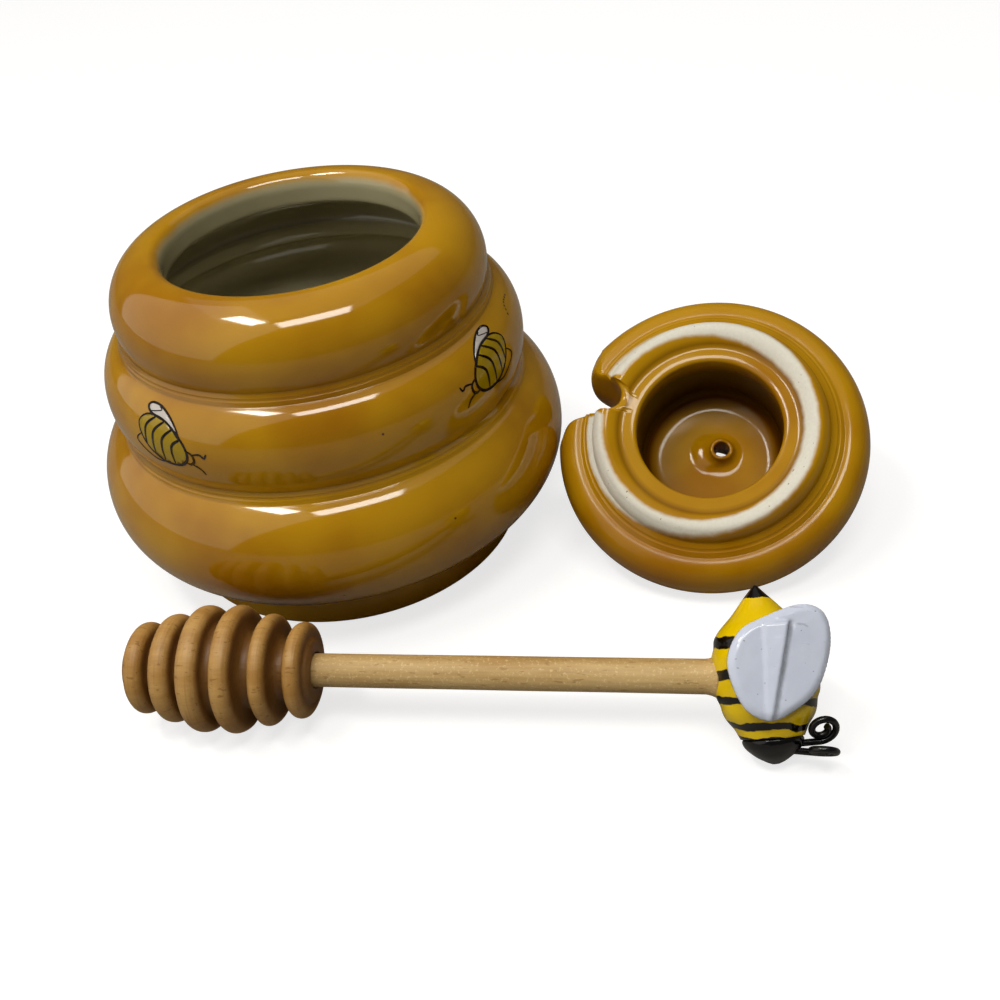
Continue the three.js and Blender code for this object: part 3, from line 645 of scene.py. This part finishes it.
head_mesh = lathe([(r, h, groove_depth(r, h)) for r, h in head_shape], [(360, 96)], ("groove",))
for v in head_mesh.verts:
    if v.co.xy.length > 4.5:
        v.co += v.normal * 0.12 * (noise.noise(v.co * 0.16) - 0.5)


def stretched(tree, place, scale):
    """The place on a piece, scaled so that what is drawn with it stretches."""
    return step_in(tree, "Mapping", {"Vector": place, "Scale": scale}).outputs[0]


def stained(tree, wood, where, strength, stain):
    """Wood tinted where a share says, at most as much as the strength."""
    return tinted(tree, sums(tree, "MULTIPLY", where, strength), wood, stain)


def beech(name, pale, brown, fleck, rough, marks):
    """Beech with its grain along X: soft bands, short dark flecks, and marks left round it."""
    finish, tree, shader, place = new_finish(name, rough)
    fibres = stretched(tree, place, (0.05, 1, 1))
    bands = stretched(tree, place, (0.16, 1, 1))
    dashes = stretched(tree, place, (0.28, 1, 1))
    rounds = stretched(tree, place, (1, 0.04, 0.04))
    wood = tinted(tree, between(tree, mottle(tree, bands, 6, 3, 0.6), 0.3, 0.7), pale, brown)
    wood = stained(tree, wood, mottle(tree, fibres, 0.5, 2), 0.35, shade(120, 78, 36))
    flecks = between(tree, mottle(tree, dashes, 0.75, 1), 0.64, 0.72)
    wood = stained(tree, wood, flecks, 0.55, fleck)
    turned = mottle(tree, rounds, 0.45, 2)
    height = sums(tree, "MULTIPLY_ADD", turned, marks, mottle(tree, fibres, 0.6, 2))
    roughen(tree, shader, height, 0.07)
    return finish, tree, shader, place, wood, turned


head_beech, tree, shader, _, wood, turned = beech(
    "turned_beech", shade(206, 162, 92), shade(178, 130, 58), shade(120, 78, 26), 0.5, 1.4)
# Painted shade: the grooves are painted dark brown by their depth.
wood = stained(tree, wood, share_of(tree, "groove"), 0.8, shade(96, 56, 8))
wood = stained(tree, wood, between(tree, turned, 0.5, 0.75), 0.25, shade(128, 78, 36))
colour_with(tree, shader, wood)
set_down("dipper_head", head_mesh, dipper_place @ along_x, [head_beech], "dipper",
         ["dipper_head"])


# Dipper's stick: a sanded beech dowel, glued into the head at one end and
# into the bee at the other, where the glue and paint made a small cone.
STICK_RADIUS = 3.75
stick_shape = [(0, -2.8), (3.4, -2.8), (STICK_RADIUS, -2.4),
               *((STICK_RADIUS, 8 + 6 * i) for i in range(15)), (STICK_RADIUS, 97),
               (3.82, 97.6), (4.05, 98.4), (4.45, 99.3), (4.5, 99.7), (3.7, 99.9), (3.7, 105),
               (3.3, 105.5), (0, 105.5)]
stick_mesh = lathe(stick_shape, [(360, 64)])
for v in stick_mesh.verts:
    if v.co.xy.length > 3.5 and v.co.z < 98:
        long_waves = Vector((v.co.x * 0.2, v.co.y * 0.2, v.co.z * 0.05))
        v.co += v.normal * 0.06 * noise.noise(long_waves)
stick_beech, tree, shader, place, wood, _ = beech(
    "beech_dowel", shade(216, 184, 124), shade(188, 150, 88), shade(150, 112, 58), 0.6, 0.25)
pale_dots = between(tree, mottle(tree, place, 0.7, 2, 0.7), 0.55, 0.68)
colour_with(tree, shader, stained(tree, wood, pale_dots, 0.45, shade(236, 212, 158)))
set_down("dipper_stick", stick_mesh, dipper_place @ along_x, [stick_beech], "dipper",
         ["dipper_stick"])


# Bee's body: a turned wooden drop glued across the end of the stick, dipped
# in yellow enamel and banded in black by hand, with its tail dipped black.
# Its segments swell a little between the bands.
bee_place = (
    dipper_place @ Matrix.Translation((0.1095, 0, 0))
    @ Matrix.Rotation(radians(133.8), 4, "X")
    @ Matrix.Rotation(radians(6), 4, "Y")
    @ Matrix.Rotation(radians(-12), 4, "Z")
)
TAIL, NECK = -19.3, 12.44  # the drop's two ends
TAIL_DIP, FACE_DIP = -16.6, 12.4  # it is black below the first and above the second
BAND_WOBBLE, BAND_BLUR, BAND_LEAN = 0.055, 0.12, 0.11
BEE_SPAN = 40  # what a share of 1 along the bee stands for
bands = ((-6.9, 1.25), (-0.3, 1.0), (5.0, 0.8), (10.1, 0.75))  # middle and half width


def share_along(h):
    """A place along the bee as a share of the span that its mesh is measured on."""
    return (h + 20) / BEE_SPAN


def waist(h):
    """How much the drop is drawn in at a place along it."""
    return 0.3 * max(exp(-((h - at) / 1.3) ** 2) for at, _ in bands)


bee_shape = flowing([(0, TAIL), (0.65, -19.1), (4.85, -14.36), (9.2, -9.9), (10.6, -6.6),
                     (10.86, -2.9), (10.86, 2.48), (10.46, 4.96), (9.3, 7.94), (7.5, 10.8),
                     (6.75, 12)], 8)
bee_shape = [(max(p.x - waist(p.y), 0.2), p.y) for p in bee_shape[1:]]
bee_shape = [(0, TAIL)] + bee_shape + [(6.6, 12.3), (6.2, NECK), (0, NECK)]
bee_mesh = lathe([(r, h, share_along(h)) for r, h in bee_shape], [(360, 96)], ("along",))
along = bee_mesh.verts.layers.float["along"]
for v in bee_mesh.verts:
    v[along] -= BAND_LEAN * v.co.x / BEE_SPAN
    v.co += v.normal * 0.15 * noise.noise(v.co * 0.22)


def enamel(name, rough, uneven):
    """Enamel paint that dried with soft waves of this depth in millimetres."""
    finish, tree, shader, place = new_finish(name, rough)
    waves = sums(tree, "MULTIPLY_ADD", mottle(tree, place, 1.2, 2), 0.3, mottle(tree, place, 4, 1))
    roughen(tree, shader, waves, uneven)
    return finish, tree, shader, place


bee_yellow, tree, shader, place = enamel("yellow_paint", 0.15, 0.1)
yellow = tinted(tree, mottle(tree, place, 5, 2), shade(242, 208, 0), shade(226, 186, 0))
wobble = mottle(tree, place, 5, 3)
wobble = sums(tree, "MULTIPLY_ADD", wobble, BAND_WOBBLE, share_of(tree, "along"))
bee_along = sums(tree, "SUBTRACT", wobble, BAND_WOBBLE / 2)
black = sums(tree, "LESS_THAN", bee_along, share_along(TAIL_DIP))
black = sums(tree, "MAXIMUM", black, sums(tree, "GREATER_THAN", bee_along, share_along(FACE_DIP)))
for at, half in bands:
    off = sums(tree, "ABSOLUTE", sums(tree, "SUBTRACT", bee_along, share_along(at)))
    band = between(tree, off, (half + BAND_BLUR) / BEE_SPAN, (half - BAND_BLUR) / BEE_SPAN)
    black = sums(tree, "MAXIMUM", black, band)
colour_with(tree, shader, tinted(tree, black, yellow, shade(9, 4, 2)))
set_down("bee_body", bee_mesh, bee_place, [bee_yellow], "dipper", ["bee_body"])


# Bee's head: a small wooden point glued on the body and dipped in black
# enamel, with two drilled holes for the antennae.
face_shape = flowing([(6.4, 12.8), (6.3, 13.5), (5.75, 14.5), (4.2, 15.95), (2.1, 17.25),
                      (0.7, 17.85)], 8)
face_shape = [(0, 12.5), (6.15, 12.5)] + [tuple(p) for p in face_shape] + [(0, 17.9)]
face_mesh = lathe(face_shape, [(360, 72)])
for v in face_mesh.verts:
    v.co += v.normal * 0.08 * noise.noise(v.co * 0.35)
bee_black, tree, shader, place = enamel("black_paint", 0.15, 0.1)
black = tinted(tree, mottle(tree, place, 3, 2), shade(6, 6, 7), shade(12, 11, 11))
colour_with(tree, shader, black)
set_down("bee_head", face_mesh, bee_place, [bee_black], "dipper", ["bee_head"])


# Bee's wings: both wings are one small plate pressed with a raised wedge
# between them, glued on the back and dipped in white enamel, which has
# picked up specks and scratches.
WING_X, WING_Y = 0.75, -2.8  # the plate's middle
WING_HALF_X, WING_HALF_Y = 10.75, 11.4
WING_TOP, WING_UNDER = 12, 10.25  # heights over the bee's axis
WING_CELL = 0.4
wing_outline = flowing([(WING_X + a * WING_HALF_X, WING_Y + f * WING_HALF_Y) for a, f in (
    (-0.2, -0.83), (0.45, -0.99), (0.86, -0.88), (1, -0.55), (0.92, -0.05), (0.6, 0.55),
    (0.1, 0.88), (-0.35, 1), (-0.75, 0.78), (-0.97, 0.3), (-0.99, -0.18), (-0.7, -0.62))], 8, True)


def wing_face(x, y):
    """Height of the wings' face over the bee's axis, and how near a furrow's bottom it is, where
    shade is painted.
    """
    rim = min((Vector((x, y)) - p).length for p in wing_outline)
    low = 1.2 * (1 - min(rim / 1.6, 1)) ** 2
    down = min(max((y + 11) / 19, 0), 1)
    right = WING_X + (0.17 - 0.5 * down) * WING_HALF_X
    left = WING_X + (-0.3 - 0.14 * down) * WING_HALF_X
    over = (x - left) / max(right - left, 0.4)
    top = min(max((y + 11.1) / 0.5, 0), 1)
    wedge = 0
    if over >= 1:
        wedge = max(1 - (x - right) / 0.7, 0)
    elif over > 0:
        wedge = min(over / 0.08, 1) * (0.22 + 0.78 * over)
    furrow = exp(-((x - right - 0.95) / 0.6) ** 2) * (1 - down * 0.5) * top
    swell = 0.2 * (1 - min(hypot(x - WING_X, y - WING_Y) / 11, 1) ** 2)
    height = WING_TOP - low + swell + wedge * (1.8 - 1.1 * down) * top - 0.55 * furrow
    return height, furrow


wing_mesh = bmesh.new()
painted_furrow_shade = wing_mesh.verts.layers.float.new("painted_furrow_shade")
wing_mesh.faces.new([wing_mesh.verts.new((p.x, p.y, 0)) for p in wing_outline])
for axis in (0, 1):
    for k in range(1, 75):
        cut_across(wing_mesh, wing_mesh.faces, axis, -15.2 + WING_CELL * k, 1e-4)
plate_under = bmesh.ops.extrude_face_region(wing_mesh, geom=wing_mesh.faces[:])
under_verts = {e for e in plate_under["geom"] if isinstance(e, bmesh.types.BMVert)}
for v in wing_mesh.verts:
    x, y = v.co.xy
    height, v[painted_furrow_shade] = wing_face(x, y)
    v.co = (x, WING_UNDER if v in under_verts else height, y)
bmesh.ops.recalc_face_normals(wing_mesh, faces=wing_mesh.faces)

wing_white, tree, shader, place = enamel("white_paint", 0.13, 0.2)
white = tinted(tree, mottle(tree, place, 6, 2), shade(216, 223, 240), shade(202, 210, 229))
scuffs = step_in(tree, "Mapping", {"Vector": place, "Rotation": (0.4, 0.3, 0.9),
                                   "Scale": (0.2, 1, 0.6)})
scratched = between(tree, mottle(tree, scuffs.outputs[0], 1.3, 4), 0.66, 0.7)
scratched = sums(tree, "MULTIPLY", scratched, 0.3)
specks = between(tree, mottle(tree, place, 0.7, 1), 0.74, 0.78)
worn_and_shade = sums(tree, "MAXIMUM", scratched, sums(tree, "MULTIPLY", specks, 0.6))
# Painted shade: the furrow beside the wedge is painted grey in blotches, and it takes the same grey
# as the real specks and scratches.
furrow_shade = sums(tree, "MULTIPLY", share_of(tree, "painted_furrow_shade"), mottle(tree, place, 1.5, 3))
worn_and_shade = sums(tree, "MAXIMUM", worn_and_shade, furrow_shade)
colour_with(tree, shader, tinted(tree, worn_and_shade, white, shade(96, 92, 90)))
set_down("bee_wings", wing_mesh, bee_place, [wing_white], "dipper", ["bee_wings"])


# Antennae: two lengths of black-coated wire, each with its free end wound
# into a small scroll, pushed into the head's holes and glued.
WIRE_RADIUS = 0.00074
SCROLL_RADIUS, SCROLL_SHRINK, SCROLL_TURNS = 3.4, 2.3, 1.35
SCROLL_STEPS = 64
SCROLL_START = 3.6
FACE_RADIUS, FACE_LENGTH, FACE_FOOT = 6.2, 5.2, 12.7
HOLE_BACK = 0.3  # both holes lie this share of the radius behind the middle


def bend_wire(name, forward, lean, tilt):
    """An antenna: how far forward its hole is, its lean, and the tilt of its scroll."""
    skin_x = FACE_RADIUS * (1 - HOLE_BACK ** 2 - forward ** 2) ** 0.5
    route = [Vector((-1.5, 0, 0)), Vector((0.4, 0, 0)), Vector((2.4, 0, 0))]
    for i in range(SCROLL_STEPS + 1):
        angle = 2 * pi * SCROLL_TURNS * i / SCROLL_STEPS
        radius = SCROLL_RADIUS - SCROLL_SHRINK * i / SCROLL_STEPS
        inwards = SCROLL_RADIUS - radius * cos(angle)
        route.append(Vector((SCROLL_START + radius * sin(angle),
                             inwards * sin(tilt), -inwards * cos(tilt))))
    hole = (skin_x, HOLE_BACK * FACE_RADIUS, FACE_FOOT + forward * FACE_LENGTH)
    place = bee_place @ Matrix.Scale(0.001, 4) @ Matrix.Translation(hole)
    place = place @ Matrix.Rotation(-lean, 4, "Y")
    curve = bpy.data.curves.new(name, "CURVE")
    curve.dimensions = "3D"
    curve.bevel_depth = WIRE_RADIUS
    curve.bevel_resolution = 5
    curve.use_fill_caps = True
    spline = curve.splines.new("POLY")
    spline.points.add(len(route) - 1)
    for point, p in zip(spline.points, route):
        point.co = (*(place @ p), 1)
        point.radius = 1
    spline.use_smooth = True
    curve.materials.append(wire_black)
    wire = put_in(name, curve)
    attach(wire, "dipper")
    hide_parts(name)


wire_black, tree, shader, place = new_finish("black_wire", 0.2)
black = tinted(tree, mottle(tree, place, 1, 2), shade(10, 10, 10), shade(20, 19, 19))
colour_with(tree, shader, black)
roughen(tree, shader, mottle(tree, place, 0.5, 2), 0.02)
bend_wire("antenna_left", 0.24, 0, radians(41))
bend_wire("antenna_right", 0.55, radians(10), radians(82))


# Table and light: a white table under a wide soft window, with a small one
# to its left. A pale wall on the left and a pale ceiling give light back,
# and the rest of the room is dim, but the camera sees it as white.
bm = bmesh.new()
bmesh.ops.create_grid(bm, x_segments=1, y_segments=1, size=3)
table_mesh = bpy.data.meshes.new("table")
bm.to_mesh(table_mesh)
bm.free()
table = put_in("table", table_mesh)
table_white = bpy.data.materials.new("table_white")
table_white.use_nodes = True
tree = table_white.node_tree
tree.nodes.clear()
rays = step_in(tree, "LightPath").outputs
matt = step_in(tree, "BsdfDiffuse", {"Color": (0.3, 0.29, 0.27, 1)}).outputs[0]
pale = step_in(tree, "BsdfDiffuse", {"Color": (0.4, 0.4, 0.4, 1)}).outputs[0]
glow = step_in(tree, "Emission", {"Strength": 0.74}).outputs[0]
lit = step_in(tree, "AddShader", {0: pale, 1: glow}).outputs[0]
both = step_in(tree, "MixShader", {0: rays["Is Camera Ray"], 1: matt, 2: lit}).outputs[0]
step_in(tree, "OutputMaterial", {"Surface": both})
table_mesh.materials.append(table_white)

ROOM_STRENGTH = 0.07
room = bpy.data.worlds.new("room")
bpy.context.scene.world = room
room.use_nodes = True
tree = room.node_tree
backdrop = tree.nodes["Background"].inputs
backdrop["Color"].default_value = (1, 0.99, 0.97, 1)
seen = step_in(tree, "LightPath").outputs["Is Camera Ray"]
brightness = sums(tree, "MULTIPLY_ADD", seen, 1 - ROOM_STRENGTH, ROOM_STRENGTH)
tree.links.new(brightness, backdrop["Strength"])


def shine(name, towards, distance, size, strength):
    """An area lamp in that direction from the pot, facing it; strength is its brightness."""
    data = bpy.data.lights.new(name, "AREA")
    data.shape = "RECTANGLE"
    data.size, data.size_y = size
    data.energy = strength * pi * size[0] * size[1]
    data.color = (1, 0.965, 0.9)
    lamp = put_in(name, data)
    ahead = Vector(towards).normalized()
    look = ahead.to_track_quat("Z", "Y").to_matrix().to_4x4()
    target = pot_foot + Vector((0, 0, 0.07))
    lamp.matrix_world = Matrix.Translation(target + ahead * distance) @ look


shine("wide_window", (0.17, -0.36, 0.91), 0.9, (0.5, 0.19), 11.6)
shine("small_window", (-0.33, -0.19, 0.92), 0.9, (0.34, 0.12), 21)
shine("left_wall", (-0.85, -0.25, 0.55), 1.4, (2.4, 2.6), 0.7)
shine("ceiling", (0, 0.3, 0.95), 2.2, (2.8, 2.6), 0.34)

bpy.context.view_layer.update()
